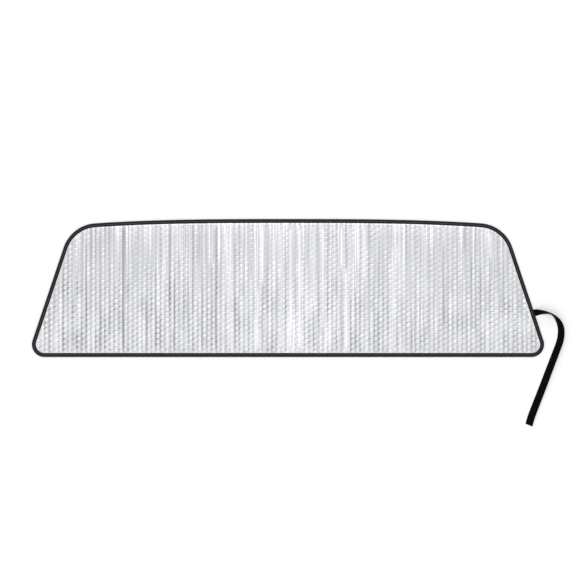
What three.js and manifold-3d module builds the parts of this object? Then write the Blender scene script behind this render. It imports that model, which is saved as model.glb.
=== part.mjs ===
// A rear window sunshade that lies flat with its silver face up: a panel of bubble foil, the
// folded tape that binds its edge, and the strap that ties it when it is rolled up.
// Millimetres, +X across the window, +Y up the window, +Z out of the silver face.
import * as THREE from "three";
import { mergeVertices } from "three/addons/utils/BufferGeometryUtils.js";
import Module from "manifold-3d";

const wasm = await Module();
wasm.setup();

// Outline over the binding.
const overallWidth = 1300;
const overallHeight = 350;
const sideLeanDeg = 18.5;
const bottomCornerRadius = 32;
const topCornerRadius = 91;
const crownDrop = 10.9;

// Bubble foil.
const filmHeight = 3.2;
const bubblePitch = 13.6;
const bubbleRise = 1.5;
const pressedEdge = 1.6;
const seamTuck = 3;
const rimFade = 9;

// Creases that rolling leaves down the bubble columns: place across, lower end, upper end.
const creaseDepth = 0.9;
const creaseFade = 25;
const creases = [
  [-567, -170, 40],
  [-513, -170, 130],
  [-477, -170, 150],
  [-448, -120, 170],
  [-416, -170, 170],
  [-363, -170, -40],
  [-298, -170, 60],
  [-239, 10, 170],
  [-184, -60, 170],
  [-70, -170, 170],
  [-22, -90, 170],
  [32, -170, 170],
  [92, -30, 170],
  [143, -170, 170],
  [198, 0, 170],
  [260, -170, 60],
  [350, 20, 170],
  [389, -60, 160],
  [462, -120, 150],
  [514, 60, 160],
];

// Edge binding.
const bindingWidth = 10;
const tapeThickness = 0.8;
const tapeCrown = 0.5;

// Tie strap.
const strapWidth = 19;
const strapThickness = 1;
const strapGather = 0.72;
const strapGatherRun = 22;
const strapExitY = -62.4;
const strapEndSlantDeg = 7;
const strapStepsPerSpan = 3;
const strapSeatFlat = 15;
const strapSeatRamp = 42;
const strapSeatStations = 10;

// The strap's way from its sewn end, counted from the point where it leaves the binding:
// across, up, and how far its outer edge is rolled up off the ground, in degrees.
const strapRoute = [
  [-8.4, 0, 0],
  [0, 0, 0],
  [8.4, 0.5, 34],
  [18.6, 0.9, 55],
  [28.7, 0.1, 67],
  [38.9, -1.9, 79],
  [44.6, -4.2, 80],
  [52.1, -10.2, 73],
  [60.1, -20.3, 56],
  [65.0, -30.5, 44],
  [67.6, -40.6, 36],
  [68.1, -50.8, 32],
  [67.3, -60.9, 30],
  [65.4, -71.1, 29],
  [62.2, -81.3, 29],
  [54.6, -101.6, 28],
  [39.1, -142.2, 25],
  [23.9, -182.8, 21],
  [8.2, -223.4, 17],
  [-7.1, -264.0, 9],
  [-13.3, -285.5, 3],
];

// Clearances.
const contactGap = 0.3;
const groundGap = 0.05;

// Steps of the rounded stretches.
const bottomArcSteps = 8;
const topArcSteps = 8;
const crownSteps = 12;
const foldArcSteps = 6;
const foldLiningSteps = 3;

const radians = THREE.MathUtils.degToRad;
const lean = radians(sideLeanDeg);
const channelHeight = pressedEdge + 2 * contactGap;
const foldRadius = tapeThickness + channelHeight / 2;
const strapSeatHeight = groundGap + strapThickness + contactGap;
const columnSpacing = (bubblePitch * Math.sqrt(3)) / 2;
const rowSpacing = bubblePitch / 2;

const foil = new THREE.MeshStandardMaterial({
  color: 0xc9ccd2,
  roughness: 0.35,
  metalness: 0.8,
});
const tape = new THREE.MeshStandardMaterial({
  color: 0x242424,
  roughness: 0.85,
  metalness: 0,
});
const webbing = new THREE.MeshStandardMaterial({
  color: 0x12120f,
  roughness: 0.8,
  metalness: 0,
});

// Points on an arc, each with the outward direction there.
function arcStations(centre, radius, from, to, steps) {
  return Array.from({ length: steps + 1 }, (_, i) => {
    const angle = from + ((to - from) * i) / steps;
    const out = new THREE.Vector2(Math.cos(angle), Math.sin(angle));
    return { at: centre.clone().addScaledVector(out, radius), out };
  });
}

// The two corner arcs of the right half, and where the crowned top edge meets the upper one.
function cornerArcs() {
  const sideOut = new THREE.Vector2(Math.cos(lean), Math.sin(lean));
  const bottom = new THREE.Vector2(
    overallWidth / 2 - bottomCornerRadius,
    bottomCornerRadius - overallHeight / 2,
  );
  const sideOffset = bottom.dot(sideOut) + bottomCornerRadius;
  // The place of the meeting point and the fall of the edge there depend on each other.
  const passes = 12;
  const top = new THREE.Vector2();
  let crownReach = overallWidth / 2;
  let fall = 0;
  for (let i = 0; i < passes; i++) {
    fall = Math.atan((3 * crownDrop) / crownReach);
    top.y = overallHeight / 2 - crownDrop - topCornerRadius * Math.cos(fall);
    top.x = (sideOffset - topCornerRadius - top.y * sideOut.y) / sideOut.x;
    crownReach = top.x + topCornerRadius * Math.sin(fall);
  }
  return { bottom, top, sideOut, sideOffset, crownReach, fall };
}

const corners = cornerArcs();
const strapExit = pointOnSide(strapExitY);

function pointOnSide(y) {
  const { sideOut, sideOffset } = corners;
  return new THREE.Vector2((sideOffset - y * sideOut.y) / sideOut.x, y);
}

// The top edge falls with the cube of the distance from mid width.
function crownStation(x) {
  const share = Math.abs(x) / corners.crownReach;
  const y = overallHeight / 2 - crownDrop * share ** 3;
  const slope = (3 * crownDrop * share * share * Math.sign(x)) / corners.crownReach;
  return { at: new THREE.Vector2(x, y), out: new THREE.Vector2(slope, 1).normalize() };
}

// Close stations on the right side, where the edge rides up over the sewn end of the strap.
function seatStationsOnSide() {
  const reach = strapSeatFlat + strapSeatRamp;
  const along = new THREE.Vector2(-corners.sideOut.y, corners.sideOut.x);
  return Array.from({ length: strapSeatStations + 1 }, (_, i) => {
    const s = reach * ((2 * i) / strapSeatStations - 1);
    return {
      at: strapExit.clone().addScaledVector(along, s),
      out: corners.sideOut.clone(),
    };
  });
}

// How far the edge is lifted by the strap under it.
function seatLift(point) {
  const away = point.distanceTo(strapExit) - strapSeatFlat;
  const share = THREE.MathUtils.clamp(away / strapSeatRamp, 0, 1);
  return strapSeatHeight * (0.5 + 0.5 * Math.cos(Math.PI * share));
}

// The whole rim, counter-clockwise from the middle of the bottom edge.
function rimStations() {
  const quarter = Math.PI / 2;
  const bottomArc = arcStations(
    corners.bottom, bottomCornerRadius, -quarter, lean, bottomArcSteps);
  const topArc = arcStations(
    corners.top, topCornerRadius, lean, quarter - corners.fall, topArcSteps);
  const mirrored = (stations) =>
    stations
      .map(({ at, out }) => ({
        at: new THREE.Vector2(-at.x, at.y),
        out: new THREE.Vector2(-out.x, out.y),
      }))
      .reverse();
  const crown = Array.from({ length: crownSteps - 1 }, (_, i) =>
    crownStation(corners.crownReach * (1 - (2 * (i + 1)) / crownSteps)));
  return [
    ...bottomArc,
    ...seatStationsOnSide(),
    ...topArc,
    ...crown,
    ...mirrored(topArc),
    ...mirrored(bottomArc),
  ].map((station) => ({ ...station, lift: seatLift(station.at) }));
}

const rim = rimStations();

function rimInset(distance) {
  return rim.map(({ at, out }) => at.clone().addScaledVector(out, -distance));
}

// A closed mesh through rings of points; the last ring joins the first, or the ends are capped.
function loft(rings, closed) {
  const count = rings[0].length;
  const faces = [];
  const spans = closed ? rings.length : rings.length - 1;
  for (let i = 0; i < spans; i++) {
    const here = i * count;
    const next = ((i + 1) % rings.length) * count;
    for (let j = 0; j < count; j++) {
      const k = (j + 1) % count;
      faces.push(here + j, next + j, next + k, here + j, next + k, here + k);
    }
  }
  const last = (rings.length - 1) * count;
  for (let j = 1; !closed && j < count - 1; j++) {
    faces.push(0, j, j + 1, last, last + j + 1, last + j);
  }
  return meshOf(rings.flat(), faces);
}

function meshOf(points, faces) {
  return new THREE.BufferGeometry().setFromPoints(points).setIndex(faces);
}

// A section of inset and height pairs carried once round the rim.
function ringRoundRim(section) {
  return loft(
    rim.map(({ at, out, lift }) =>
      section.map(([inset, z]) => {
        const p = at.clone().addScaledVector(out, -inset);
        return new THREE.Vector3(p.x, p.y, z + lift);
      })),
    true,
  );
}

function prism(outline, low, high) {
  const depth = high - low;
  return new THREE.ExtrudeGeometry(new THREE.Shape(outline), { depth, bevelEnabled: false })
    .translate(0, 0, low);
}

function solidOf(geometry) {
  const bare = geometry.clone();
  bare.deleteAttribute("normal");
  bare.deleteAttribute("uv");
  const merged = mergeVertices(bare);
  return new wasm.Manifold(
    new wasm.Mesh({
      numProp: 3,
      vertProperties: merged.attributes.position.array,
      triVerts: new Uint32Array(merged.index.array),
    }),
  );
}

function geometryOf(solid) {
  const { vertProperties, triVerts } = solid.getMesh();
  return new THREE.BufferGeometry()
    .setAttribute("position", new THREE.BufferAttribute(vertProperties, 3))
    .setIndex(new THREE.BufferAttribute(triVerts, 1));
}

// How deep a crease presses the film at one point of a bubble column.
function creaseAt(column, y) {
  return creases
    .filter(([x]) => Math.round(x / columnSpacing) === column)
    .reduce((depth, [, low, high]) => {
      const inside = Math.min(y - low, high - y);
      return Math.max(depth, creaseDepth * THREE.MathUtils.smoothstep(inside, 0, creaseFade));
    }, 0);
}

// Distance from a point to a closed outline, counted negative outside it.
function distanceInside(point, outline) {
  let nearest = Infinity;
  let inside = false;
  const foot = new THREE.Vector3();
  const edge = new THREE.Line3();
  const p = new THREE.Vector3(point.x, point.y, 0);
  outline.forEach((a, i) => {
    const b = outline[(i + 1) % outline.length];
    edge.start.set(a.x, a.y, 0);
    edge.end.set(b.x, b.y, 0);
    edge.closestPointToPoint(p, true, foot);
    nearest = Math.min(nearest, foot.distanceTo(p));
    if (a.y > p.y !== b.y > p.y && p.x < a.x + ((b.x - a.x) * (p.y - a.y)) / (b.y - a.y)) {
      inside = !inside;
    }
  });
  return inside ? nearest : -nearest;
}

// A slab whose top is the bubble field: the bubbles stand in columns, each column half a
// pitch off its neighbours, and each bubble is a four-sided point between the low points
// of the film. Both run out flat where the film goes under the binding.
function bubbleSlab(window) {
  const columns = Math.ceil(overallWidth / 2 / columnSpacing);
  const rows = Math.ceil(overallHeight / 2 / rowSpacing);
  const points = [];
  for (let i = -columns; i <= columns; i++) {
    for (let j = -rows; j <= rows; j++) {
      const x = i * columnSpacing;
      const y = j * rowSpacing;
      const crowned = (i + j) % 2 === 0;
      const free = THREE.MathUtils.smoothstep(distanceInside({ x, y }, window), 0, rimFade);
      const swell = crowned ? bubbleRise : 0;
      points.push(new THREE.Vector3(x, y, filmHeight + free * (swell - creaseAt(i, y))));
    }
  }
  const width = 2 * rows + 1;
  const length = 2 * columns + 1;
  const faces = [];
  for (let i = 0; i < length - 1; i++) {
    for (let j = 0; j < width - 1; j++) {
      const a = i * width + j;
      const [b, c, d] = [a + width, a + width + 1, a + 1];
      const crownedCorner = (i - columns + j - rows) % 2 === 0;
      faces.push(...(crownedCorner ? [a, b, d, b, c, d] : [a, b, c, a, c, d]));
    }
  }
  const border = [
    ...Array.from({ length: length - 1 }, (_, i) => i * width),
    ...Array.from({ length: width - 1 }, (_, j) => (length - 1) * width + j),
    ...Array.from({ length: length - 1 }, (_, i) => (length - i) * width - 1),
    ...Array.from({ length: width - 1 }, (_, j) => width - 1 - j),
  ];
  const centre = points.length;
  points.push(new THREE.Vector3(0, 0, 0));
  const low = points.length;
  border.forEach((top) => points.push(new THREE.Vector3(points[top].x, points[top].y, 0)));
  border.forEach((top, i) => {
    const k = (i + 1) % border.length;
    faces.push(top, low + i, low + k, top, low + k, border[k], centre, low + k, low + i);
  });
  return meshOf(points, faces);
}

// The laminate: the bubble field inside the binding, and the edge pressed flat within it.
function foilPanel() {
  const window = rimInset(bindingWidth + contactGap);
  const tallest = filmHeight + bubbleRise + 1;
  const field = solidOf(bubbleSlab(window)).intersect(solidOf(prism(window, -1, tallest)));
  const low = tapeThickness + contactGap;
  const high = low + pressedEdge;
  const tuckedIn = bindingWidth + contactGap + seamTuck;
  const edge = ringRoundRim([
    [foldRadius, low],
    [foldRadius, high],
    [tuckedIn, high],
    [tuckedIn, low],
  ]);
  return geometryOf(field.add(solidOf(edge)));
}

// Tape folded over the edge: a round fold outside, a lining that clears the pressed edge,
// and a front flange that is bowed between its fold and its sewn lip.
function edgeBinding() {
  const fold = (radius, from, to, steps) =>
    Array.from({ length: steps + 1 }, (_, i) => {
      const angle = from + ((to - from) * i) / steps;
      return [foldRadius - radius * Math.cos(angle), foldRadius + radius * Math.sin(angle)];
    });
  const quarter = Math.PI / 2;
  const middle = (foldRadius + bindingWidth) / 2;
  const top = 2 * foldRadius;
  const section = [
    [bindingWidth, 0],
    ...fold(foldRadius, -quarter, quarter, foldArcSteps),
    [middle, top + tapeCrown],
    [bindingWidth, top],
    [bindingWidth, top - tapeThickness],
    [middle, top - tapeThickness + tapeCrown],
    ...fold(channelHeight / 2, quarter, -quarter, foldLiningSteps),
    [bindingWidth, tapeThickness],
  ];
  return ringRoundRim(section);
}

// A flat ribbon carried along its route. Its lower edge stays on the ground as it rolls, it
// is gathered narrower where it is sewn, and its free end is cut at a slant.
function tieStrap() {
  const route = new THREE.CatmullRomCurve3(
    strapRoute.map(([x, y, roll]) => new THREE.Vector3(strapExit.x + x, strapExit.y + y, roll)),
  );
  const steps = (strapRoute.length - 1) * strapStepsPerSpan;
  const stations = Array.from({ length: steps + 1 }, (_, i) => route.getPoint(i / steps));
  const start = new THREE.Vector2(stations[0].x, stations[0].y);
  const chamfer = strapThickness / 2;
  const rings = stations.map((station, i) => {
    const before = stations[Math.max(i - 1, 0)];
    const after = stations[Math.min(i + 1, steps)];
    const forward = new THREE.Vector2(after.x - before.x, after.y - before.y).normalize();
    const roll = radians(Math.max(station.z, 0));
    const run = Math.hypot(station.x - start.x, station.y - start.y);
    const spread = THREE.MathUtils.smoothstep(run, 0, strapGatherRun);
    const half = (strapWidth / 2) * THREE.MathUtils.lerp(strapGather, 1, spread);
    const slant = i === steps ? Math.tan(radians(strapEndSlantDeg)) : 0;
    const middleZ =
      groundGap + half * Math.sin(roll) + (strapThickness / 2) * Math.cos(roll);
    const flat = half - chamfer;
    const face = strapThickness / 2;
    const section = [
      [-half, face / 2], [-flat, face], [flat, face], [half, face / 2],
      [half, -face / 2], [flat, -face], [-flat, -face], [-half, -face / 2],
    ];
    return section.map(([across, up]) => {
      const side = across * Math.cos(roll) - up * Math.sin(roll);
      const rise = across * Math.sin(roll) + up * Math.cos(roll);
      return new THREE.Vector3(
        station.x - forward.y * side + forward.x * across * slant,
        station.y + forward.x * side + forward.y * across * slant,
        middleZ + rise,
      );
    });
  });
  return loft(rings, false);
}

function part(name, geometry, material) {
  const mesh = new THREE.Mesh(geometry, material);
  mesh.name = name;
  return mesh;
}

const sunshade = new THREE.Group();
sunshade.add(part("foil_panel", foilPanel(), foil));
sunshade.add(part("edge_binding", edgeBinding(), tape));
sunshade.add(part("tie_strap", tieStrap(), webbing));

export default sunshade;
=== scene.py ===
"""A rear window sunshade that lies flat: silver bubble foil, a sewn edge binding and a tie strap."""

import math

import bpy
import numpy as np
from mathutils.geometry import delaunay_2d_cdt
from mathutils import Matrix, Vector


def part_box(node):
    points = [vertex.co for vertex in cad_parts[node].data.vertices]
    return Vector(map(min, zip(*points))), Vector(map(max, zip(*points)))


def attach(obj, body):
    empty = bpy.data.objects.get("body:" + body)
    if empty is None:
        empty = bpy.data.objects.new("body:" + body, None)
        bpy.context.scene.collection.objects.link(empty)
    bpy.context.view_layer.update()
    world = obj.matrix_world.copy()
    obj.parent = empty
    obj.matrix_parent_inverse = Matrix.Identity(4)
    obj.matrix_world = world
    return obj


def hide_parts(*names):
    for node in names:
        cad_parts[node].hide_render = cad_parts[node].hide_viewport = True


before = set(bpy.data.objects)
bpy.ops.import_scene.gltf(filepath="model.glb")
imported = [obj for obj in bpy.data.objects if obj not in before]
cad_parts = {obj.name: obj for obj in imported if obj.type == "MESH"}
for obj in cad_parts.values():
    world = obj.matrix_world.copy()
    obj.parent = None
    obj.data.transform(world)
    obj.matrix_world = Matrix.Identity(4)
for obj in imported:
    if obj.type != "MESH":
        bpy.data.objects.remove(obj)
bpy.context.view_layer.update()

bl_info = {
    "name": "Rear window sunshade",
    "version": (1, 0, 0),
    "blender": (4, 5, 0),
    "location": "3D View > Sidebar > Sunshade",
    "description": "Builds a bubble foil rear window sunshade round its packed model",
    "category": "Object",
}

BODY = "root"
BINDING_LOW, BINDING_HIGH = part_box("edge_binding")

# Sizes that the solids have, in metres.
SIDE_LEAN = math.radians(18.5)
BOTTOM_RADIUS = 0.032
TOP_RADIUS = 0.091
CROWN_DROP = 0.0109
BINDING_WIDTH = 0.010
TAPE_THICKNESS = 0.0008
CONTACT_GAP = 0.0003
PRESSED_EDGE = 0.0016
FOLD_RADIUS = TAPE_THICKNESS + PRESSED_EDGE / 2 + CONTACT_GAP
TAPE_CROWN = 0.0005
PANEL_HEIGHT = 0.0047
GROUND_GAP = 0.00005

# The films' edges stand EDGE_INSET inside the rim, hidden in the binding's channel, and the
# front film leaves the channel at SEAM_INSET and climbs over FILM_CLIMB. FILM_GAP keeps the
# films off the tape, whole bubbles stay CELL_MARGIN inside the seam, and the films' inner
# sides lie at FRONT_INNER and BACK_INNER.
EDGE_INSET = 0.006
SEAM_INSET = 0.0104
FILM_CLIMB = 0.03
FREE_RUN = 0.003
LIFT_RUN = 0.008
FILM_GAP = 0.0001
CELL_MARGIN = 0.0003
FRONT_INNER = 0.0018
BACK_INNER = 0.0017
DENT_DEPTH = 0.0004
DENT_WIDTH = 0.0012

# Steps of the rim's points on the foil, the tape and the seam.
FOIL_STEP = 0.004
TAPE_STEP = 0.0021
SEAM_STEP = 0.001

# The strap's way from the point where it leaves the binding: across, up, roll in degrees.
STRAP_EXIT_Y = -0.0624
STRAP_ROUTE = [
    (-0.0084, 0.0, 0),
    (0.0, 0.0, 0),
    (0.0084, 0.0005, 34),
    (0.0186, 0.0009, 55),
    (0.0287, 0.0001, 67),
    (0.0389, -0.0019, 79),
    (0.0446, -0.0042, 80),
    (0.0521, -0.0102, 73),
    (0.0601, -0.0203, 56),
    (0.0650, -0.0305, 44),
    (0.0676, -0.0406, 36),
    (0.0681, -0.0508, 32),
    (0.0673, -0.0609, 30),
    (0.0654, -0.0711, 29),
    (0.0622, -0.0813, 29),
    (0.0546, -0.1016, 28),
    (0.0391, -0.1422, 25),
    (0.0239, -0.1828, 21),
    (0.0082, -0.2234, 17),
    (-0.0071, -0.2640, 9),
    (-0.0133, -0.2855, 3),
]
STRAP_THICKNESS = 0.001
STRAP_GATHER = 0.72
STRAP_GATHER_RUN = 0.022
STRAP_END_SLANT = math.radians(7)
STRAP_SEAT_FLAT = 0.015
STRAP_SEAT_RAMP = 0.042
STRAP_SEAT_HEIGHT = GROUND_GAP + STRAP_THICKNESS + CONTACT_GAP
STRAP_STEPS = 420
STRAP_SIDE_POINTS = 13


def linear(level):
    """A screen level from 0 to 255 as the light value that a shader takes."""
    share = level / 255
    return share / 12.92 if share <= 0.04045 else ((share + 0.055) / 1.055) ** 2.4


def grey(level, red=0.0, blue=0.0):
    """A near-grey colour of a screen level, warmed or cooled by a few levels."""
    return (linear(level + red), linear(level), linear(level + blue), 1.0)


class SunshadeSizes(bpy.types.PropertyGroup):
    """Sizes that a user would change."""

    overall_width: bpy.props.FloatProperty(
        name="Width", description="Width over the binding", unit="LENGTH",
        default=BINDING_HIGH.x - BINDING_LOW.x)
    overall_height: bpy.props.FloatProperty(
        name="Height", description="Height over the binding", unit="LENGTH",
        default=BINDING_HIGH.y - BINDING_LOW.y)
    bubble_pitch: bpy.props.FloatProperty(
        name="Bubble pitch", description="Distance between neighbouring bubbles",
        unit="LENGTH", default=0.0136)
    bubble_rise: bpy.props.FloatProperty(
        name="Bubble rise", description="How far a bubble stands above the film between",
        unit="LENGTH", default=0.0015)
    stitch_length: bpy.props.FloatProperty(
        name="Stitch length", description="Length of one stitch of the binding's seam",
        unit="LENGTH", default=0.0042)
    strap_width: bpy.props.FloatProperty(
        name="Strap width", description="Width of the webbing", unit="LENGTH", default=0.019)


class SunshadeColours(bpy.types.PropertyGroup):
    """Colours that a user would change."""

    foil: bpy.props.FloatVectorProperty(
        name="Foil", description="Colour of the metallised film", subtype="COLOR",
        size=4, min=0, max=1, default=grey(227, -1, 4))
    tape: bpy.props.FloatVectorProperty(
        name="Binding", description="Colour of the binding tape", subtype="COLOR",
        size=4, min=0, max=1, default=grey(30))
    thread: bpy.props.FloatVectorProperty(
        name="Thread", description="Colour of the sewing thread", subtype="COLOR",
        size=4, min=0, max=1, default=grey(110))
    webbing: bpy.props.FloatVectorProperty(
        name="Strap", description="Colour of the strap", subtype="COLOR",
        size=4, min=0, max=1, default=grey(11, 0, -1))


class Value:
    """A shader socket that takes part in Python arithmetic."""

    def __init__(self, nodes, socket):
        self.nodes = nodes
        self.socket = socket

    def __add__(self, other):
        return self.nodes.maths("ADD", self, other)

    def __sub__(self, other):
        return self.nodes.maths("SUBTRACT", self, other)

    def __rsub__(self, other):
        return self.nodes.maths("SUBTRACT", other, self)

    def __mul__(self, other):
        return self.nodes.maths("MULTIPLY", self, other)

    __radd__ = __add__
    __rmul__ = __mul__

    def sine(self):
        """The sine of the value, in radians."""
        return self.nodes.maths("SINE", self)

    def within(self):
        """The value held between 0 and 1."""
        return self.nodes.node("ShaderNodeClamp", {}, {"Value": self})["Result"]


class Nodes:
    """A node tree, whose nodes all come from node() and from arithmetic on values."""

    def __init__(self, tree, shader):
        self.tree = tree
        self.shader = tree.nodes[shader]

    def node(self, kind, settings, sockets):
        """Adds a node, sets it up, fills its sockets and returns its outputs by name."""
        made = self.tree.nodes.new(kind)
        for setting, choice in settings.items():
            setattr(made, setting, choice)
        for socket, content in sockets.items():
            if isinstance(content, Value):
                self.tree.links.new(content.socket, made.inputs[socket])
            else:
                made.inputs[socket].default_value = content
        return {o.name: Value(self, o) for o in made.outputs if o.enabled}

    def maths(self, operation, *terms):
        """One Math node on values or numbers."""
        sockets = dict(enumerate(terms))
        return self.node("ShaderNodeMath", {"operation": operation}, sockets)["Value"]

    def mix(self, factor, low, high):
        """A colour between two colours."""
        sockets = {0: factor, 6: low, 7: high}
        outputs = self.node("ShaderNodeMix", {"data_type": "RGBA"}, sockets)
        return outputs["Result"]

    def attribute(self, name):
        """A number stored on the mesh's points."""
        return self.node("ShaderNodeAttribute", {"attribute_name": name}, {})["Fac"]

    def place(self):
        """The point's place in the part's own frame."""
        return self.node("ShaderNodeTexCoord", {}, {})["Object"]

    def noise(self, place, scale, detail=2.0, stretch=None):
        """Smooth noise from 0 to 1, stretched along the axes where asked."""
        if stretch:
            place = self.node(
                "ShaderNodeMapping", {}, {"Vector": place, "Scale": stretch})["Vector"]
        sockets = {"Vector": place, "Scale": scale, "Detail": detail}
        return self.node("ShaderNodeTexNoise", {}, sockets)["Fac"]

    def seen(self):
        """1 to the camera, in reflections and through clear matter, 0 for all other light."""
        ray = self.node("ShaderNodeLightPath", {}, {})
        return (ray["Is Camera Ray"] + ray["Is Glossy Ray"] + ray["Is Transmission Ray"]).within()

    def constant(self, **constants):
        """Sets the shader's sockets to constants."""
        for socket, constant in constants.items():
            self.shader.inputs[socket.replace("_", " ")].default_value = constant

    def feed(self, **links):
        """Links values to the shader's sockets."""
        for socket, link in links.items():
            self.tree.links.new(link.socket, self.shader.inputs[socket.replace("_", " ")])


class Finish(Nodes):
    """One material."""

    def __init__(self, name, **constants):
        self.material = bpy.data.materials.new(name)
        self.material.use_nodes = True
        super().__init__(self.material.node_tree, "Principled BSDF")
        self.constant(**constants)

    def weave(self, rib_pitch, cord_pitch):
        """A plain weave on the piece's own length and width: 0.5 plus half the product of a
        sine along it and a sine across it."""
        uv = self.node("ShaderNodeUVMap", {"uv_map": "Along"}, {})["UV"]
        parts = self.node("ShaderNodeSeparateXYZ", {}, {0: uv})
        along = (parts["X"] * (2 * math.pi / rib_pitch)).sine()
        across = (parts["Y"] * (2 * math.pi / cord_pitch)).sine()
        return along * across * 0.5 + 0.5

    def bump(self, height, distance, strength=1.0):
        """Feeds the shader's normal with a height in shares of a distance."""
        sockets = {"Height": height, "Distance": distance, "Strength": strength}
        self.feed(Normal=self.node("ShaderNodeBump", {}, sockets)["Normal"])


def sizes():
    return bpy.context.scene.sunshade_sizes


def colours():
    return bpy.context.scene.sunshade_colours


def smooth(share):
    """0 below 0, 1 above 1, and the smooth step 3t^2 - 2t^3 between."""
    t = np.clip(share, 0, 1)
    return t * t * (3 - 2 * t)


class Outline:
    """The rounded trapezoid over the binding, worked out as the solids have it."""

    def __init__(self):
        self.half_width = sizes().overall_width / 2
        self.half_height = sizes().overall_height / 2
        self.side_out = np.array([math.cos(SIDE_LEAN), math.sin(SIDE_LEAN)])
        self.side_up = np.array([-math.sin(SIDE_LEAN), math.cos(SIDE_LEAN)])
        self.bottom = np.array([
            self.half_width - BOTTOM_RADIUS, BOTTOM_RADIUS - self.half_height])
        self.side_offset = self.bottom @ self.side_out + BOTTOM_RADIUS
        self.reach, passes = self.half_width, 12
        for _ in range(passes):
            self.fall = math.atan(3 * CROWN_DROP / self.reach)
            top_y = self.half_height - CROWN_DROP - TOP_RADIUS * math.cos(self.fall)
            top_x = self.side_offset - TOP_RADIUS - top_y * self.side_out[1]
            self.top = np.array([top_x / self.side_out[0], top_y])
            self.reach = self.top[0] + TOP_RADIUS * math.sin(self.fall)

    def side_point(self, y):
        """The point of the straight right side at a height."""
        return np.array([(self.side_offset - y * self.side_out[1]) / self.side_out[0], y])

    def crown(self, x):
        """Height of the top edge: it falls with the cube of the distance from mid width."""
        return self.half_height - CROWN_DROP * (np.abs(x) / self.reach) ** 3

    def stations(self, step):
        """Points round the rim about a step apart, counter-clockwise, and their outward ways."""
        def arc(centre, radius, start, end):
            angle = np.linspace(start, end, max(2, int(radius * (end - start) / step) + 1))
            out = np.stack([np.cos(angle), np.sin(angle)], 1)
            return centre + radius * out, out

        quarter = math.pi / 2
        low_arc, low_out = arc(self.bottom, BOTTOM_RADIUS, -quarter, SIDE_LEAN)
        high_arc, high_out = arc(self.top, TOP_RADIUS, SIDE_LEAN, quarter - self.fall)
        rise = high_arc[0] - low_arc[-1]
        share = np.linspace(0, 1, int(np.linalg.norm(rise) / step) + 1)[1:-1, None]
        side = low_arc[-1] + share * rise
        side_out = np.repeat(self.side_out[None], len(side), 0)
        crown_x = np.linspace(self.reach, 0, int(self.reach / step) + 1)[1:]
        slope = 3 * CROWN_DROP * crown_x**2 / self.reach**3
        crown = np.stack([crown_x, self.crown(crown_x)], 1)
        crown_out = np.stack([slope, np.ones_like(slope)], 1)
        crown_out /= np.linalg.norm(crown_out, axis=1, keepdims=True)
        base_x = np.linspace(0, self.bottom[0], int(self.bottom[0] / step) + 1)[:-1]
        base = np.stack([base_x, np.full_like(base_x, -self.half_height)], 1)
        base_out = np.repeat(np.array([[0.0, -1.0]]), len(base), 0)
        at = np.concatenate([base, low_arc, side, high_arc, crown])
        out = np.concatenate([base_out, low_out, side_out, high_out, crown_out])
        mirror = np.array([-1.0, 1.0])
        left = slice(-2, 0, -1)
        return np.concatenate([at, at[left] * mirror]), np.concatenate([out, out[left] * mirror])

    def depth(self, x, y):
        """Distance inside the rim: the least of the three edges, or of the arc in a corner."""
        ax = np.abs(x)
        across = ax * self.side_out[0] + y * self.side_out[1]
        least = np.minimum(y + self.half_height, self.side_offset - across)
        least = np.minimum(least, self.crown(x) - y)
        for centre, radius, low, high in (
            (self.bottom, BOTTOM_RADIUS, (1, 0), -self.side_up),
            (self.top, TOP_RADIUS, self.side_up, (math.cos(self.fall), -math.sin(self.fall))),
        ):
            from_x, from_y = ax - centre[0], y - centre[1]
            wedge = (from_x * low[0] + from_y * low[1] > 0) & (
                from_x * high[0] + from_y * high[1] > 0)
            least = np.where(wedge, radius - np.hypot(from_x, from_y), least)
        return least

    def lift(self, at):
        """How far the edge rides up over the sewn end of the strap."""
        away = np.linalg.norm(at - self.side_point(STRAP_EXIT_Y), axis=1) - STRAP_SEAT_FLAT
        share = np.clip(away / STRAP_SEAT_RAMP, 0, 1)
        return STRAP_SEAT_HEIGHT * (0.5 + 0.5 * np.cos(np.pi * share))


def mesh_piece(name, points, faces, attributes=None, uv=None):
    """A smooth-shaded mesh object at the origin, for its caller to put on the part's one body."""
    mesh = bpy.data.meshes.new(name)
    mesh.from_pydata(points.tolist(), [], faces)
    mesh.shade_smooth()
    for attribute, values in (attributes or {}).items():
        mesh.attributes.new(attribute, "FLOAT", "POINT").data.foreach_set(
            "value", np.asarray(values, np.float32))
    if uv is not None:
        corner = np.empty(len(mesh.loops), np.int32)
        mesh.loops.foreach_get("vertex_index", corner)
        mesh.uv_layers.new(name="Along").data.foreach_set(
            "uv", np.asarray(uv, np.float32)[corner].ravel())
    piece = bpy.data.objects.new(name, mesh)
    bpy.context.scene.collection.objects.link(piece)
    return piece


def run_along(line):
    """Distance from the first point along a line of points: the running sum of its steps."""
    return np.concatenate([[0], np.cumsum(np.linalg.norm(np.diff(line, axis=0), axis=1))])


def loop_faces(rings, count, closed):
    """Quads between successive rings of a swept section, with the last ring joined to the
    first where the sweep is closed, and flat ends where it isn't."""
    spans = rings if closed else rings - 1
    i, j = np.meshgrid(np.arange(spans), np.arange(count), indexing="ij")
    here, after = i * count, ((i + 1) % rings) * count
    k = (j + 1) % count
    quads = np.stack([here + j, after + j, after + k, here + k], -1).reshape(-1, 4).tolist()
    if not closed:
        quads += [list(range(count)), list(range(rings * count - 1, (rings - 1) * count - 1, -1))]
    return quads


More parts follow.
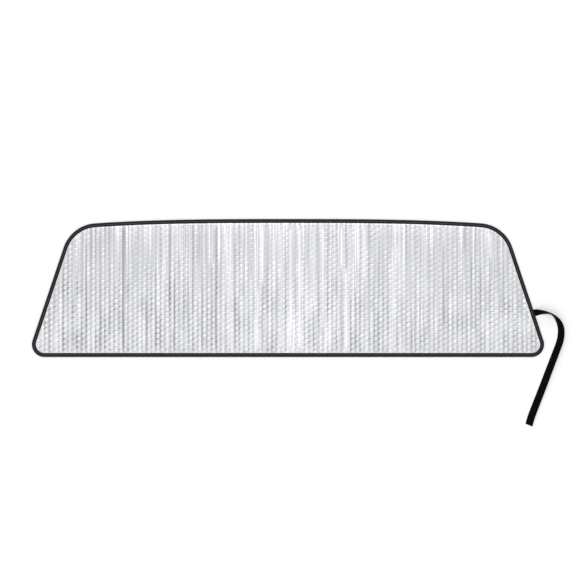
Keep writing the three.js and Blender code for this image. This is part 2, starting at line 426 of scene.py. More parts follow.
def strap_line(steps):
    """The strap's middle line: a centripetal spline through the route, with its roll."""
    knots = np.array(STRAP_ROUTE, float)
    start = Outline().side_point(STRAP_EXIT_Y)
    knots[:, :2] += start
    guard = np.concatenate([[2 * knots[0] - knots[1]], knots, [2 * knots[-1] - knots[-2]]])
    scale = np.array([1.0, 1.0, 0.001])
    gaps = np.linalg.norm(np.diff(guard * scale, axis=0), axis=1) ** 0.5
    times = np.concatenate([[0], np.cumsum(gaps)])
    at = np.linspace(times[1], times[-2], steps)
    span = np.clip(np.searchsorted(times, at, side="right") - 1, 1, len(knots) - 1)
    t0, t1, t2, t3 = (times[span + k] for k in (-1, 0, 1, 2))
    p0, p1, p2, p3 = (guard[span + k] for k in (-1, 0, 1, 2))

    def between(a, b, ta, tb):
        share = ((at - ta) / (tb - ta))[:, None]
        return a + share * (b - a)

    a1, a2, a3 = between(p0, p1, t0, t1), between(p1, p2, t1, t2), between(p2, p3, t2, t3)
    b1, b2 = between(a1, a2, t0, t2), between(a2, a3, t1, t3)
    line = between(b1, b2, t1, t2)
    line[:, 2] = np.radians(np.maximum(line[:, 2], 0))
    return line


def strap_section(points_a_side):
    """A flat ribbon section as shares of half width and half thickness, going round."""
    across = np.linspace(-1, 1, points_a_side)
    edge = 1 - 0.55 * np.abs(across) ** 14
    upper = np.stack([across, edge], 1)
    lower = np.stack([across[::-1], -edge[::-1]], 1)
    return np.concatenate([upper, lower])


class SUNSHADE_OT_strap(bpy.types.Operator):
    """Make the tie strap"""

    bl_idname = "sunshade.strap"
    bl_label = "Tie strap"

    def execute(self, context):
        # The section is carried along the line, square to it and rolled up off the ground,
        # and the last one is slanted.
        line = strap_line(STRAP_STEPS)
        section = strap_section(STRAP_SIDE_POINTS)
        way = np.gradient(line[:, :2], axis=0)
        way /= np.linalg.norm(way, axis=1, keepdims=True)
        roll = line[:, 2]
        run = run_along(line[:, :2])
        spread = STRAP_GATHER + (1 - STRAP_GATHER) * smooth(run / STRAP_GATHER_RUN)
        half = sizes().strap_width / 2 * spread
        middle = GROUND_GAP + half * np.sin(roll) + STRAP_THICKNESS / 2 * np.cos(roll)
        across = half[:, None] * section[None, :, 0]
        up = np.broadcast_to(STRAP_THICKNESS / 2 * section[None, :, 1], across.shape)
        flat = across * np.cos(roll)[:, None] - up * np.sin(roll)[:, None]
        rise = across * np.sin(roll)[:, None] + up * np.cos(roll)[:, None]
        slant = np.zeros(STRAP_STEPS)
        slant[-1] = math.tan(STRAP_END_SLANT)
        ahead = across * slant[:, None]
        points = np.stack([
            line[:, None, 0] - way[:, None, 1] * flat + way[:, None, 0] * ahead,
            line[:, None, 1] + way[:, None, 0] * flat + way[:, None, 1] * ahead,
            middle[:, None] + rise,
        ], -1).reshape(-1, 3)
        uv = np.stack([
            np.broadcast_to(run[:, None], across.shape),
            np.broadcast_to(section[None, :, 0] * sizes().strap_width / 2, across.shape),
        ], -1).reshape(-1, 2)
        faces = loop_faces(STRAP_STEPS, len(section), False)
        piece = mesh_piece("strap_webbing", points, faces, uv=uv)
        piece.data.materials.append(webbing_finish())
        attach(piece, BODY)
        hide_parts("tie_strap")
        return {"FINISHED"}


def webbing_finish():
    """Woven webbing, with slow changes from black to the strap's colour."""
    finish = Finish("webbing", Roughness=0.8, Specular_IOR_Level=0.05)
    weave = finish.weave(rib_pitch=0.0016, cord_pitch=0.0011)
    drift = finish.noise(finish.place(), 60.0)
    tint = finish.mix(weave * 0.5 + drift * 0.5, grey(4), tuple(colours().webbing))
    finish.feed(Base_Color=tint)
    finish.bump(weave, 0.0003, 0.6)
    return finish.material


def bubble_places(x, y, pitch):
    """Distance to the nearest bubble's middle, and that bubble's column and row. Columns
    stand pitch * sqrt(3) / 2 apart, and odd ones are half a pitch off the even ones."""
    spacing = pitch * math.sqrt(3) / 2
    left = np.floor(x / spacing)
    best = None
    for column in (left, left + 1):
        shift = (column % 2) * pitch / 2
        row = np.round((y - shift) / pitch)
        away = np.hypot(x - column * spacing, y - row * pitch - shift)
        if best is None:
            best = [away, column, row]
        else:
            nearer = away < best[0]
            best = [np.where(nearer, new, old) for new, old in zip((away, column, row), best)]
    return best


# Creases from rolling: place across, lower end, upper end, and the painted tone along it, from -1
# for painted shade in a fold to 1 for a painted white glint where it is stretched.
CREASES = [
    (-0.567, -0.170, 0.060, -0.5),
    (-0.513, -0.170, 0.130, -0.6),
    (-0.477, -0.170, 0.150, -0.6),
    (-0.448, -0.120, 0.170, -0.4),
    (-0.416, -0.170, 0.170, -1.0),
    (-0.363, -0.170, -0.020, -0.7),
    (-0.338, -0.170, 0.060, -0.6),
    (-0.298, -0.060, 0.170, -0.7),
    (-0.290, -0.170, 0.040, -0.6),
    (-0.239, -0.080, 0.170, -0.6),
    (-0.220, -0.170, 0.120, -0.5),
    (-0.184, -0.170, 0.170, -0.7),
    (-0.150, -0.170, 0.150, 0.6),
    (-0.131, -0.170, 0.120, -0.4),
    (-0.077, -0.170, 0.010, 0.8),
    (-0.069, 0.000, 0.170, 0.9),
    (-0.022, -0.170, 0.170, 0.6),
    (0.009, -0.170, 0.170, 0.8),
    (0.032, -0.170, 0.170, 1.0),
    (0.061, -0.060, 0.170, 0.6),
    (0.092, -0.120, 0.170, 0.8),
    (0.141, 0.040, 0.170, 1.0),
    (0.146, -0.170, 0.060, 1.0),
    (0.164, -0.040, 0.170, 0.6),
    (0.176, -0.020, 0.170, 0.5),
    (0.197, 0.010, 0.170, 0.7),
    (0.260, -0.170, 0.120, 0.6),
    (0.350, -0.100, 0.170, 0.5),
    (0.389, -0.100, 0.120, -0.5),
    (0.462, -0.120, 0.100, -0.4),
    (0.483, -0.100, 0.060, -0.5),
    (0.514, 0.060, 0.160, 0.7),
]


# The bubbles' radii as shares of their pitch, and how far a crest falls to its edge.
FOOT_SHARE = 0.415
CREST_SHARE = 0.335
CREST_FALL = 0.22

# Where the film was stretched: the height of a rib of merged bubbles and the share of the
# slanting ridges, both as shares of a bubble's rise, and the most that bubbles merge.
RIB_RISE = 0.4
RIDGE_SHARE = 0.35
MOST_MERGED = 0.92

# Slopes of the uneven film, and the depth of its folds.
COLUMN_LEAN = 0.05
BUBBLE_LEAN = 0.025
CREASE_DEPTH = 0.0009
FINE_CREASE = 0.7

SEED = 7
KNOTS = 9
RING_POINTS = 12


class FoilField:
    """The height and tone of the silver film, worked out for whole arrays of points."""

    def __init__(self):
        self.pitch = sizes().bubble_pitch
        self.spacing = self.pitch * math.sqrt(3) / 2
        self.foot = FOOT_SHARE * self.pitch
        self.crest = CREST_SHARE * self.pitch
        self.outline = Outline()
        self.columns = int(self.outline.half_width / self.spacing) + 3
        self.rows = int(self.outline.half_height / self.pitch) + 3
        count = 2 * self.columns + 1
        each = count, 2 * self.rows + 1
        rng = np.random.default_rng(SEED)
        self.depths = FINE_CREASE * rng.uniform(0, 1, count) ** 3
        self.tones = rng.uniform(-1, 1, count)
        self.knots = rng.uniform(0, 1, (count, KNOTS))
        self.tilts = COLUMN_LEAN * rng.normal(0, 1, count)
        self.rises = rng.uniform(0.5, 0.9, each)
        self.leans = rng.normal(0, BUBBLE_LEAN, (2, *each))
        self.shades = rng.normal(0, 1, each)
        self.rises *= 1 - 0.25 * rng.uniform(0, 1, count)[:, None]

    def along(self, column, y):
        """A slow change between 0 and 1 up each column: smooth steps from knot to knot."""
        place = (y / (2 * self.outline.half_height) + 0.5) * (KNOTS - 1)
        place = np.clip(place, 0, KNOTS - 1.001)
        low = place.astype(int)
        share = smooth(place - low)
        return self.knots[column, low] * (1 - share) + self.knots[column, low + 1] * share

    def creases(self, x, y):
        """Depth of the folds and their painted tone, from painted shade to a painted white glint.
        Each stands in the valley between two columns, is a V across and fades at its ends: the named
        ones first, then a fine one per valley."""
        valley = np.floor(x / self.spacing)
        off = np.abs(x - (valley + 0.5) * self.spacing)
        index = (valley + self.columns).astype(int)
        fine = self.depths[index] * smooth(self.along(index, y) * 1.6 - 0.2)
        upper = smooth((y / self.outline.half_height + 1.1) / 1.6)
        strength = fine * (0.35 + 0.65 * upper)
        tone = self.tones[index] * strength
        for place, low, high, shade in CREASES:
            here = valley == math.floor(place / self.spacing)
            inside = smooth(np.minimum(y - low, high - y) / 0.03) * here
            strength = np.maximum(strength, inside * abs(shade))
            tone = np.where(inside > 0.05, inside * shade, tone)
        notch = np.clip(1 - off / ((0.1 + 0.16 * np.abs(tone)) * self.spacing), 0, 1)
        return notch * strength, notch * tone

    def pits(self, x, y):
        """How much painted shade the low spots take where three bubbles meet: one to a pitch along
        each valley, in patches, and more of them down the left. Each is a raised cosine cubed along
        the valley and falls straight away across it."""
        valley = np.floor(x / self.spacing)
        across = np.abs(x - (valley + 0.5) * self.spacing) / (0.16 * self.spacing)
        up = 0.5 + 0.5 * np.cos(2 * np.pi * (y / self.pitch - (valley % 2) / 2))
        index = (valley + self.columns).astype(int)
        low = 0.5 - 0.35 * y / self.outline.half_height - 0.35 * x / self.outline.half_width
        patch = 0.38 + 0.5 * smooth(self.along(2 * self.columns - index, -y) * 2.4 - 2.0 + low)
        return np.clip(1 - across, 0, 1) * up**3 * patch

    def at(self, x, y):
        """Height over the film between the bubbles, and the painted light and shade that go with it.
        A bubble is a straight wall from foot to crest under a shallow parabola. Where the film was
        stretched, more so toward the top, a column's bubbles merge to a rib, a cosine across;
        slanting ridges, a cosine of x and y, cross the rest. Crests lean a little, rings of painted
        shade lie at the walls' feet, merged film is painted an even darker grey, and the pits add
        their painted shade."""
        away, column, row = bubble_places(x, y, self.pitch)
        wall = np.clip((self.foot - away) / (self.foot - self.crest), 0, 1)
        dome = wall * (1 - CREST_FALL * np.clip(away / self.crest, 0, 1) ** 2)
        nearest = np.floor(x / self.spacing + 0.5)
        rib = 0.5 + 0.5 * np.cos(2 * np.pi * (x / self.spacing - nearest))
        index = (nearest + self.columns).astype(int)
        upper = smooth((y / self.outline.half_height + 0.75) / 1.5)
        merge = np.clip(0.85 * self.along(index, y) + 1.1 * upper - 0.6, 0, MOST_MERGED)
        own = (column + self.columns).astype(int), (row + self.rows).astype(int)
        slant = x / (2 * self.spacing) - np.sign(x) * y / self.pitch
        ridge = 0.5 + 0.5 * np.cos(2 * np.pi * slant)
        drawn = RIDGE_SHARE * self.along(index, -y)
        plain = (1 - merge) * ((1 - drawn) * dome * self.rises[own] + drawn * ridge)
        swell = plain + merge * RIB_RISE * rib
        crease, tone = self.creases(x, y)
        from_x = x - column * self.spacing
        from_y = y - (row + (column % 2) / 2) * self.pitch
        lean = self.tilts[index] * (x - nearest * self.spacing)
        lean += wall * (1 - merge) * (self.leans[0][own] * from_x + self.leans[1][own] * from_y)
        height = sizes().bubble_rise * swell - CREASE_DEPTH * crease + lean * (1 - crease)
        # Painted shade: rings at the walls' feet, their strength varied up each column, and an even
        # darker grey over merged film.
        foot_shade_strength = 0.2 + 0.8 * self.along(2 * self.columns - index, y)
        ring = np.clip(1 - np.abs(away - self.foot) / (0.12 * self.pitch), 0, 1)
        foot_shade_and_merge_grey = 0.7 * ring * foot_shade_strength * (1 - merge) + 0.24 * merge
        swell = swell + 0.16 * self.shades[own] * wall * (1 - merge)
        return height, swell, crease, tone, foot_shade_and_merge_grey + self.pits(x, y) * (1 - 0.6 * merge)

    def free(self, x, y):
        """0 in the band that the binding presses, 1 where the film is free: a smooth step
        of the depth inside the rim."""
        return smooth((self.outline.depth(x, y) - SEAM_INSET) / FREE_RUN)

    def lift(self, x, y):
        """How far the pressed band rides up over the strap, fading into the free film."""
        band = 1 - smooth((self.outline.depth(x, y) - BINDING_WIDTH) / LIFT_RUN)
        return self.outline.lift(np.stack([x, y], 1)) * band

    def cells(self):
        """Points and faces of whole bubbles. A bubble stands in an upright cell, one column
        wide and one pitch high, whose twelve rim points it shares with its neighbours: five
        on each valley line, a quarter pitch apart, and one above and below. Two rings of
        twelve points make the wall's foot and crest round one middle point. Also returned
        are the edges round the whole cells, the points of cut cells and the cells' numbers."""
        pitch, spacing = self.pitch, self.spacing
        c, r = np.meshgrid(
            np.arange(-self.columns + 1, self.columns),
            np.arange(-self.rows + 1, self.rows), indexing="ij")
        c, r = c.ravel(), r.ravel()
        cx, cy = c * spacing, r * pitch + (c % 2) * pitch / 2
        lines, levels = 2 * self.columns + 1, 8 * self.rows + 9
        line, level = np.meshgrid(np.arange(lines), np.arange(levels), indexing="ij")
        valley = np.stack([
            (line.ravel() - self.columns + 0.5) * spacing,
            (level.ravel() - 4 * self.rows - 4) * pitch / 4], 1)
        quarter = 4 * r + 2 * (c % 2) + 4 * self.rows + 4

        def edge(side, step):
            return (c + side + self.columns) * levels + quarter + step

        turn = np.arange(RING_POINTS) * 2 * np.pi / RING_POINTS
        top = len(valley) + np.arange(len(c))
        below = top - 1
        first = len(valley) + len(c) + np.arange(len(c))[:, None] * (2 * RING_POINTS + 1)
        foot = first + np.arange(RING_POINTS)
        crest, hub = foot + RING_POINTS, first + 2 * RING_POINTS
        rim = np.stack([
            edge(0, 0), edge(0, 1), edge(0, 2), top, edge(-1, 2), edge(-1, 1),
            edge(-1, 0), edge(-1, -1), edge(-1, -2), below, edge(0, -2), edge(0, -1)], 1)
        ring = np.stack([np.cos(turn), np.sin(turn)], 1)
        centre = np.stack([cx, cy], 1)
        own = np.concatenate([
            centre[:, None] + self.foot * ring, centre[:, None] + self.crest * ring,
            centre[:, None]], 1)
        mids = centre + np.array([0, pitch / 2])
        points = np.concatenate([valley, mids, own.reshape(-1, 2)])
        reach = self.outline.depth(points[:, 0], points[:, 1])
        whole = (reach[rim] > SEAM_INSET + CELL_MARGIN).all(1)
        rim, foot, crest, hub = rim[whole], foot[whole], crest[whole], hub[whole]
        quads = [
            np.stack([a, np.roll(a, -1, 1), np.roll(b, -1, 1), b], -1).reshape(-1, 4)
            for a, b in ((rim, foot), (foot, crest))]
        fans = np.stack([
            crest, np.roll(crest, -1, 1), np.repeat(hub, RING_POINTS, 1)], -1).reshape(-1, 3)
        ahead = np.stack([rim, np.roll(rim, -1, 1)], -1).reshape(-1, 2)
        size = len(points)
        lone = ~np.isin(ahead[:, 0] * size + ahead[:, 1], ahead[:, 1] * size + ahead[:, 0])
        used = np.concatenate([rim.ravel(), foot.ravel(), crest.ravel(), hub.ravel()])
        loose = np.setdiff1d(np.flatnonzero(reach > SEAM_INSET + 2 * CELL_MARGIN), used)
        taken = cell_number(c[whole], r[whole])
        return points, np.concatenate(quads), fans, ahead[lone], loose, taken


def cell_number(column, row):
    """One number for a column and a row, which no other pair has."""
    return column * 10000 + row


def flat_fill(spots, border):
    """Triangles over the area inside the border edges, through all the spots, as numbers of
    the spots and facing up."""
    made = delaunay_2d_cdt(spots.tolist(), border.tolist(), [], 1, 1e-7)
    back = np.array([source[0] for source in made[3]])
    faces = back[np.array(made[2])]
    a, b, c = (spots[faces[:, k]] for k in range(3))
    turn = (b[:, 0] - a[:, 0]) * (c[:, 1] - a[:, 1]) - (b[:, 1] - a[:, 1]) * (c[:, 0] - a[:, 0])
    return np.where((turn < 0)[:, None], faces[:, ::-1], faces)


def closed_slab(name, spots, shapes, rim_count, height, inner, attributes):
    """A closed sheet piece: shaped faces, in arrays of like ones, and a plain inner side
    across the rim. The first rim_count spots go round the rim. height is at all the spots
    and inner at the rim of the plain side, which lies below a front and above a back."""
    rim = spots[:rim_count]
    loop = np.arange(rim_count)
    after = np.roll(loop, -1)
    plain = flat_fill(rim, np.stack([loop, after], 1)) + len(spots)
    walls = np.stack([loop, loop + len(spots), after + len(spots), after], 1)
    if np.mean(inner) < np.mean(height[:rim_count]):
        plain = plain[:, ::-1]
    else:
        shapes = [shape[:, ::-1] for shape in shapes]
        walls = walls[:, ::-1]
    points = np.concatenate([
        np.column_stack([spots, height]), np.column_stack([rim, inner])])
    padded = {
        key: np.concatenate([values, np.zeros(rim_count)]) for key, values in attributes.items()}
    faces = [face for shape in (*shapes, walls, plain) for face in shape.tolist()]
    return mesh_piece(name, points, faces, padded)


def sharpen(mesh, marked):
    """Makes the edges between marked points sharp, so a bubble's flat crest and its wall
    are shaded apart."""
    ends = np.empty(2 * len(mesh.edges), np.int32)
    mesh.edges.foreach_get("vertices", ends)
    flags = np.zeros(len(mesh.vertices), bool)
    flags[:len(marked)] = marked
    sharp = mesh.attributes.new("sharp_edge", "BOOLEAN", "EDGE")
    sharp.data.foreach_set("value", flags[ends.reshape(-1, 2)].all(1))


class SUNSHADE_OT_foil(bpy.types.Operator):
    """Make the bubble foil's front and back"""

    bl_idname = "sunshade.foil"
    bl_label = "Bubble foil"

    def execute(self, context):
        field = FoilField()
        at, out = field.outline.stations(FOIL_STEP)
        rim = at - out * EDGE_INSET
        back = self.back(field, rim)
        front = self.front(field, rim, at - out * SEAM_INSET)
        for piece in (front, back):
            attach(piece, BODY)
            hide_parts("foil_panel")
        return {"FINISHED"}

    def front(self, field, rim, seam):
        """The front film: whole bubbles as cells, cut ones filled in up to the seam, and the
        pressed band from there to the rim."""
        points, quads, fans, border, loose, taken = field.cells()
        edge_points = np.unique(border)
        spots = np.concatenate([rim, seam, points[edge_points], points[loose]])
        place = np.full(len(points), -1)
        place[edge_points] = len(rim) + len(seam) + np.arange(len(edge_points))
        place[loose] = len(spots) - len(loose) + np.arange(len(loose))
        loop = np.arange(len(rim))
        round_rim = np.stack([loop, np.roll(loop, -1)], 1)
        bounds = np.concatenate([round_rim, round_rim + len(rim), place[border]])
        fill = flat_fill(spots, bounds)
        middle = spots[fill].mean(1)
        column = np.round(middle[:, 0] / field.spacing).astype(int)
        row = np.round(middle[:, 1] / field.pitch - (column % 2) / 2).astype(int)
        fill = fill[~np.isin(cell_number(column, row), taken)]
        rest = np.setdiff1d(np.unique(np.concatenate([quads.ravel(), fans.ravel()])), edge_points)
        place[rest] = len(spots) + np.arange(len(rest))
        spots = np.concatenate([spots, points[rest]])
        x, y = spots.T
        height, swell, crease, tone, ring = field.at(x, y)
        free, lift = field.free(x, y), field.lift(x, y)
        film = PANEL_HEIGHT - sizes().bubble_rise
        pressed = TAPE_THICKNESS + CONTACT_GAP + PRESSED_EDGE - FILM_GAP
        slope = smooth((field.outline.depth(x, y) - SEAM_INSET) / FILM_CLIMB)
        height = pressed + (film - pressed) * slope + height * free + lift
        inner = FRONT_INNER + lift[:len(rim)]
        shapes = fill, place[quads], place[fans]
        piece = closed_slab("foil_front", spots, shapes, len(rim), height, inner, {
            "swell": swell * free, "crease": crease * free, "tone": tone * free,
            "ring": ring * free})
        away = bubble_places(x, y, field.pitch)[0]
        sharpen(piece.data, (np.abs(away - field.crest) < 0.0001) & (free > 0.5))
        piece.data.materials.append(foil_finish("silver_film"))
        return piece

    def back(self, field, rim):
        """The back film: flat, with each bubble's ring dented in a little: a bell curve of
        the distance from the bubble's foot, seen at its middle and six points round it."""
        pitch, spacing = field.pitch, field.spacing
        column, row = np.meshgrid(
            np.arange(-field.columns, field.columns + 1),
            np.arange(-field.rows, field.rows + 1), indexing="ij")
        cx, cy = column.ravel() * spacing, (row.ravel() + (column.ravel() % 2) / 2) * pitch
        angle = np.arange(6) * np.pi / 3
        x = np.concatenate([cx] + [cx + field.foot * math.cos(a) for a in angle])
        y = np.concatenate([cy] + [cy + field.foot * math.sin(a) for a in angle])
        keep = field.outline.depth(x, y) > EDGE_INSET + FOIL_STEP * 3 / 8
        spots = np.concatenate([rim, np.stack([x[keep], y[keep]], 1)])
        loop = np.arange(len(rim))
        shapes = [flat_fill(spots, np.stack([loop, np.roll(loop, -1)], 1))]
        x, y = spots.T
        away = bubble_places(x, y, pitch)[0]
        free, lift = field.free(x, y), field.lift(x, y)
        ring = np.exp(-((away - field.foot) / DENT_WIDTH) ** 2)
        lip = TAPE_THICKNESS + CONTACT_GAP + FILM_GAP
        height = lip * (1 - free) + (GROUND_GAP + DENT_DEPTH * ring) * free + lift
        inner = BACK_INNER + lift[:len(rim)]
        # Painted shade: the dents' ring darkens the back film's colour.
        piece = closed_slab("foil_back", spots, shapes, len(rim), height, inner, {
            "swell": 0.7 * free, "ring": 0.6 * ring * free})
        piece.data.materials.append(foil_finish("back_film"))
        return piece


def foil_finish(name):
    """Metallised film with light and shade painted into its colour: crests painted lighter than the
    valleys between them, painted shade at the walls' feet and in the pits, folds painted grey with
    shade or stretched white with a painted glint, and slow upright streaks of painted reflection.
    Fine lines of painted glint and painted shade run up it in patches, more of them toward the top,
    and small wrinkles roughen it."""
    finish = Finish(name, Metallic=0.85)
    place = finish.place()
    swell, crease = finish.attribute("swell"), finish.attribute("crease")
    tone, ring = finish.attribute("tone"), finish.attribute("ring")
    # Painted highlight and shade: crests take the film's colour, the valleys between them a darker
    # grey.
    shade = finish.mix(swell.within(), grey(213, -1, 4), tuple(colours().foil))
    # Painted shade: the ring attribute darkens the walls' feet, the pits between bubbles and the
    # back's dents toward grey 122.
    shade = finish.mix(ring.within(), shade, grey(122, -1, 4))
    # Painted reflection: slow upright streaks, lighter and darker, as the creased film would reflect
    # its surroundings.
    streak = finish.noise(place, 30.0, 3.0, (1.0, 0.12, 1.0))
    shade = finish.mix((streak * 3.0 - 1.5).within() * 0.36, shade, grey(244, 0, 3))
    shade = finish.mix((1.2 - streak * 3.0).within() * 0.26, shade, grey(180, -1, 4))
    # Painted glints and painted shade: fine bright and dark lines up the film, in patches that grow
    # toward the top.
    height = finish.node("ShaderNodeSeparateXYZ", {}, {0: place})["Y"]
    fine = finish.noise(place, 210.0, 1.0, (1.0, 0.012, 0.0))
    patch = (finish.noise(place, 9.0, 2.0, (1.0, 0.5, 0.0)) * 4.0 - 1.5 + height * 3.0).within()
    shade = finish.mix((fine * 12.0 - 6.9).within() * patch * 0.75, shade, grey(252))
    shade = finish.mix((4.9 - fine * 12.0).within() * patch * 0.5, shade, grey(150, 0, 3))
    # Painted shade in the dark folds and a painted white glint along the stretched ones.
    shade = finish.mix((tone * -1.0).within() * 0.7, shade, grey(110, 0, 3))
    shade = finish.mix(tone.within() * 0.95, shade, grey(254))
    wrinkle = finish.noise(place, 260.0, 3.0, (1.0, 0.35, 1.0))
    finish.feed(Base_Color=shade, Roughness=crease * 0.2 + wrinkle * 0.12 + 0.29)
    finish.bump(wrinkle, 0.0003, 0.6)
    return finish.material


# The seam stands at this share of the front flange, in a groove that is a bell curve, and
# the tape puckers with each stitch.
SEAM_SHARE = 0.45
GROOVE_DEPTH = 0.00028
GROOVE_SHARE = 0.09
LIP_DROP = 0.00025
PUCKER = 0.00008

# Rows of stitches on the front and the back: height of the thread's middle, how far it
# arches, and its half thickness. A stitch reaches this share of its length each way.
SEAM_ROWS = (
    (2 * FOLD_RADIUS + TAPE_CROWN - 0.0004, 0.0004, 0.00036),
    (0.0002, -0.0001, 0.0002),
)
STITCH_REACH = 0.42
THREAD_HALF_WIDTH = 0.0005


def binding_section():
    """The folded tape's section as inset and height pairs, going round: the fold's half
    circle, the front flange bowed by a power of a sine with the seam's groove in it, the
    lining back round the fold, and the flat back flange."""
    def fold(radius, start, end, steps):
        angle = np.linspace(start, end, steps)
        return np.stack([
            FOLD_RADIUS - radius * np.cos(angle), FOLD_RADIUS + radius * np.sin(angle)], 1)

    quarter = math.pi / 2
    outer = fold(FOLD_RADIUS, -quarter, quarter, 13)
    lining = fold(FOLD_RADIUS - TAPE_THICKNESS, quarter, -quarter, 7)
    share = np.linspace(0, 1, 15)[1:]
    inset = FOLD_RADIUS + share * (BINDING_WIDTH - FOLD_RADIUS)
    bow = TAPE_CROWN * np.sin(np.pi * share) ** 0.8
    groove = GROOVE_DEPTH * np.exp(-((share - SEAM_SHARE) / GROOVE_SHARE) ** 2)
    front = np.stack([inset, 2 * FOLD_RADIUS + bow - groove], 1)
    front[-1, 1] -= LIP_DROP
    inner = front[::-1] - np.array([0, TAPE_THICKNESS])
    back_in = np.array([[BINDING_WIDTH, TAPE_THICKNESS], [BINDING_WIDTH, 0.0001]])
    back = np.stack([inset[::-1][1:], np.full(len(inset) - 1, 0.0)], 1)
    return np.concatenate([outer, front, inner, lining, back_in, back])


class SUNSHADE_OT_binding(bpy.types.Operator):
    """Make the edge binding"""

    bl_idname = "sunshade.binding"
    bl_label = "Edge binding"

    def execute(self, context):
        outline = Outline()
        at, out = outline.stations(TAPE_STEP)
        section = binding_section()
        run = run_along(at)
        inset, height = section[None, :, 0], section[None, :, 1]
        flat = at[:, None, :] - out[:, None, :] * inset[..., None]
        front = (height > FOLD_RADIUS * 1.6) & (inset > FOLD_RADIUS)
        # The section is carried round the rim, and a sine along it puckers the front.
        pucker = PUCKER * np.sin(2 * np.pi * run / sizes().stitch_length)[:, None] * front
        rise = height + outline.lift(at)[:, None] + pucker
        points = np.concatenate([flat, rise[..., None]], -1).reshape(-1, 3)
        uv = np.stack([
            np.broadcast_to(run[:, None], rise.shape),
            np.broadcast_to(inset, rise.shape)], -1).reshape(-1, 2)
        piece = mesh_piece(
            "binding_tape", points, loop_faces(len(at), len(section), True), uv=uv)
        piece.data.materials.append(tape_finish())
        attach(piece, BODY)
        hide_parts("edge_binding")
        return {"FINISHED"}


def tape_finish():
    """Plain-woven polyester tape with a soft sheen."""
    finish = Finish("binding_tape", Roughness=0.78, Specular_IOR_Level=0.2)
    weave = finish.weave(rib_pitch=0.0010, cord_pitch=0.0008)
    drift = finish.noise(finish.place(), 45.0)
    tint = finish.mix(weave * 0.6 + drift * 0.4, grey(16), tuple(colours().tape))
    finish.feed(Base_Color=tint)
    finish.bump(weave, 0.00025, 0.5)
    return finish.material


class SUNSHADE_OT_stitches(bpy.types.Operator):
    """Make the binding's seam"""

    bl_idname = "sunshade.stitches"
    bl_label = "Seam"

    def execute(self, context):
        outline = Outline()
        at, out = outline.stations(SEAM_STEP)
        run = run_along(at)
        total = run[-1] + np.linalg.norm(at[0] - at[-1])
        count = int(total / sizes().stitch_length)
        inset = FOLD_RADIUS + SEAM_SHARE * (BINDING_WIDTH - FOLD_RADIUS)
        along = np.linspace(-STITCH_REACH, STITCH_REACH, 7)
        start = np.arange(count)[:, None]
        place = ((start + 0.5 + along[None]) * total / count) % total
        loop = np.concatenate([run, [total]])
        rim = np.concatenate([at, at[:1]])
        way = np.concatenate([out, out[:1]])
        x, y = (np.interp(place, loop, rim[:, k]) for k in (0, 1))
        ox, oy = (np.interp(place, loop, way[:, k]) for k in (0, 1))
        lift = outline.lift(np.stack([x.ravel(), y.ravel()], 1)).reshape(x.shape)
        # A stitch is a flat oval carried along the seam, arched by a power of a cosine.
        arch = np.cos(np.pi * along / 0.86)[None] ** 0.6
        angle = -np.arange(6) * np.pi / 3
        rows = []
        for height, rise, radius in SEAM_ROWS:
            side = (inset + THREAD_HALF_WIDTH * np.cos(angle))[None, None]
            middle = height + lift + rise * arch
            rows.append(np.stack([
                x[..., None] - ox[..., None] * side,
                y[..., None] - oy[..., None] * side,
                middle[..., None] + radius * np.sin(angle)[None, None]], -1))
        points = np.stack(rows).reshape(-1, 3)
        one = loop_faces(len(along), len(angle), False)
        first = np.arange(0, len(points), len(along) * len(angle))[:, None, None]
        faces = []
        for corners in (4, len(angle)):
            alike = np.array([face for face in one if len(face) == corners])
            faces += (alike + first).reshape(-1, corners).tolist()
        piece = mesh_piece("binding_seam", points, faces)
        piece.data.materials.append(thread_finish())
        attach(piece, BODY)
        return {"FINISHED"}


def thread_finish():
    """Twisted polyester thread, slightly glossier than the tape."""
    finish = Finish("thread", Roughness=0.55, Specular_IOR_Level=0.3)
    twist = finish.noise(finish.place(), 900.0, 1.0)
    finish.feed(Base_Color=finish.mix(twist, grey(76), tuple(colours().thread)))
    finish.bump(twist, 0.0001, 0.5)
    return finish.material


CAMERA_HEIGHT = 6.0
FRAME_WIDTH = 1.4619
FLOOR_RADIUS = 20.0
FLOOR_GAP = 0.0002
FLOOR_GLOW = 0.22
SKY_LIGHT = 0.75

# Soft square lamps that face the part: name, place, width and power in watts.
LIGHTS = (
    ("key", (0.0, 2.1, 4.0), 2.2, 44),
    ("fill", (0.0, -2.4, 3.4), 2.4, 20),
)


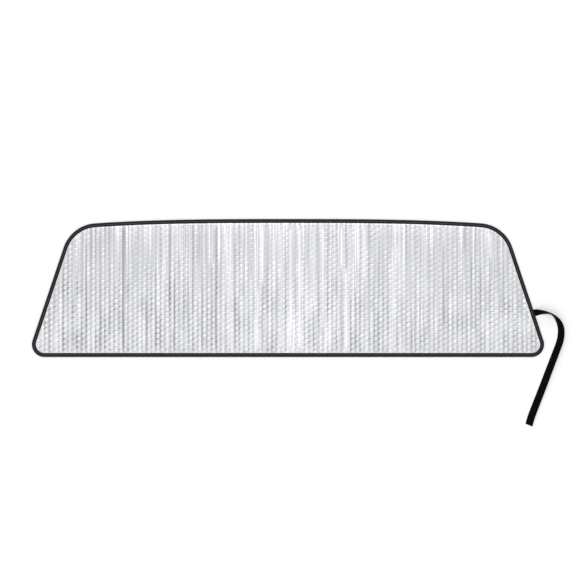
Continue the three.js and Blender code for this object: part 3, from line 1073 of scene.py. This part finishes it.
class SUNSHADE_OT_stage(bpy.types.Operator):
    """Make the camera, the floor and the lights"""

    bl_idname = "sunshade.stage"
    bl_label = "Stage"

    def execute(self, context):
        scene = context.scene
        scene.view_settings.view_transform = "Standard"
        camera = bpy.data.objects.new("Camera", bpy.data.cameras.new("Camera"))
        camera.data.lens = camera.data.sensor_width * CAMERA_HEIGHT / FRAME_WIDTH
        camera.location = (0, 0, CAMERA_HEIGHT)
        camera.data.clip_end = 4 * CAMERA_HEIGHT
        scene.collection.objects.link(camera)
        scene.camera = camera
        self.floor(scene)
        self.world(scene)
        for name, place, size, power in LIGHTS:
            light = bpy.data.objects.new(name, bpy.data.lights.new(name, "AREA"))
            light.data.energy, light.data.size = power, size
            light.location = place
            light.rotation_euler = (-light.location).to_track_quat("-Z", "Y").to_euler()
            scene.collection.objects.link(light)
        return {"FINISHED"}

    def floor(self, scene):
        """A wide pale disc whose own glow to the camera makes it white away from shadow."""
        angle = np.linspace(0, 2 * np.pi, 64, endpoint=False)
        rim = FLOOR_RADIUS * np.stack([np.cos(angle), np.sin(angle)], 1)
        points = np.column_stack([rim, np.full(len(rim), -FLOOR_GAP)])
        mesh = bpy.data.meshes.new("floor")
        mesh.from_pydata(points.tolist(), [], [list(range(len(rim)))])
        floor = bpy.data.objects.new("floor", mesh)
        scene.collection.objects.link(floor)
        finish = Finish(
            "floor", Roughness=0.9, Base_Color=(0.8, 0.8, 0.8, 1.0), Emission_Strength=FLOOR_GLOW)
        finish.feed(Emission_Color=finish.mix(finish.seen(), (0, 0, 0, 1), (1, 1, 1, 1)))
        mesh.materials.append(finish.material)

    def world(self, scene):
        """White to the eye and in reflections, and a soft even light otherwise."""
        world = bpy.data.worlds.new("World")
        scene.world = world
        world.use_nodes = True
        sky = Nodes(world.node_tree, "Background")
        sky.constant(Color=(1, 1, 1, 1))
        sky.feed(Strength=sky.seen() * (1 - SKY_LIGHT) + SKY_LIGHT)


class SUNSHADE_PT_panel(bpy.types.Panel):
    """Lists the pieces of the sunshade"""

    bl_idname = "SUNSHADE_PT_panel"
    bl_label = "Sunshade"
    bl_space_type = "VIEW_3D"
    bl_region_type = "UI"
    bl_category = "Sunshade"

    def draw(self, context):
        for group in (sizes(), colours()):
            for name in group.bl_rna.properties.keys():
                if name not in ("rna_type", "name"):
                    self.layout.prop(group, name)
        for operator in OPERATORS:
            self.layout.operator(operator.bl_idname)


OPERATORS = (
    SUNSHADE_OT_stage,
    SUNSHADE_OT_strap,
    SUNSHADE_OT_foil,
    SUNSHADE_OT_binding,
    SUNSHADE_OT_stitches,
)
CLASSES = (SunshadeSizes, SunshadeColours, *OPERATORS, SUNSHADE_PT_panel)


def register():
    for cls in CLASSES:
        bpy.utils.register_class(cls)
    bpy.types.Scene.sunshade_sizes = bpy.props.PointerProperty(type=SunshadeSizes)
    bpy.types.Scene.sunshade_colours = bpy.props.PointerProperty(type=SunshadeColours)


def unregister():
    del bpy.types.Scene.sunshade_colours
    del bpy.types.Scene.sunshade_sizes
    for cls in reversed(CLASSES):
        bpy.utils.unregister_class(cls)


def main():
    register()
    bpy.ops.sunshade.stage()
    bpy.ops.sunshade.strap()
    bpy.ops.sunshade.foil()
    bpy.ops.sunshade.binding()
    bpy.ops.sunshade.stitches()


if __name__ == "__main__":
    main()
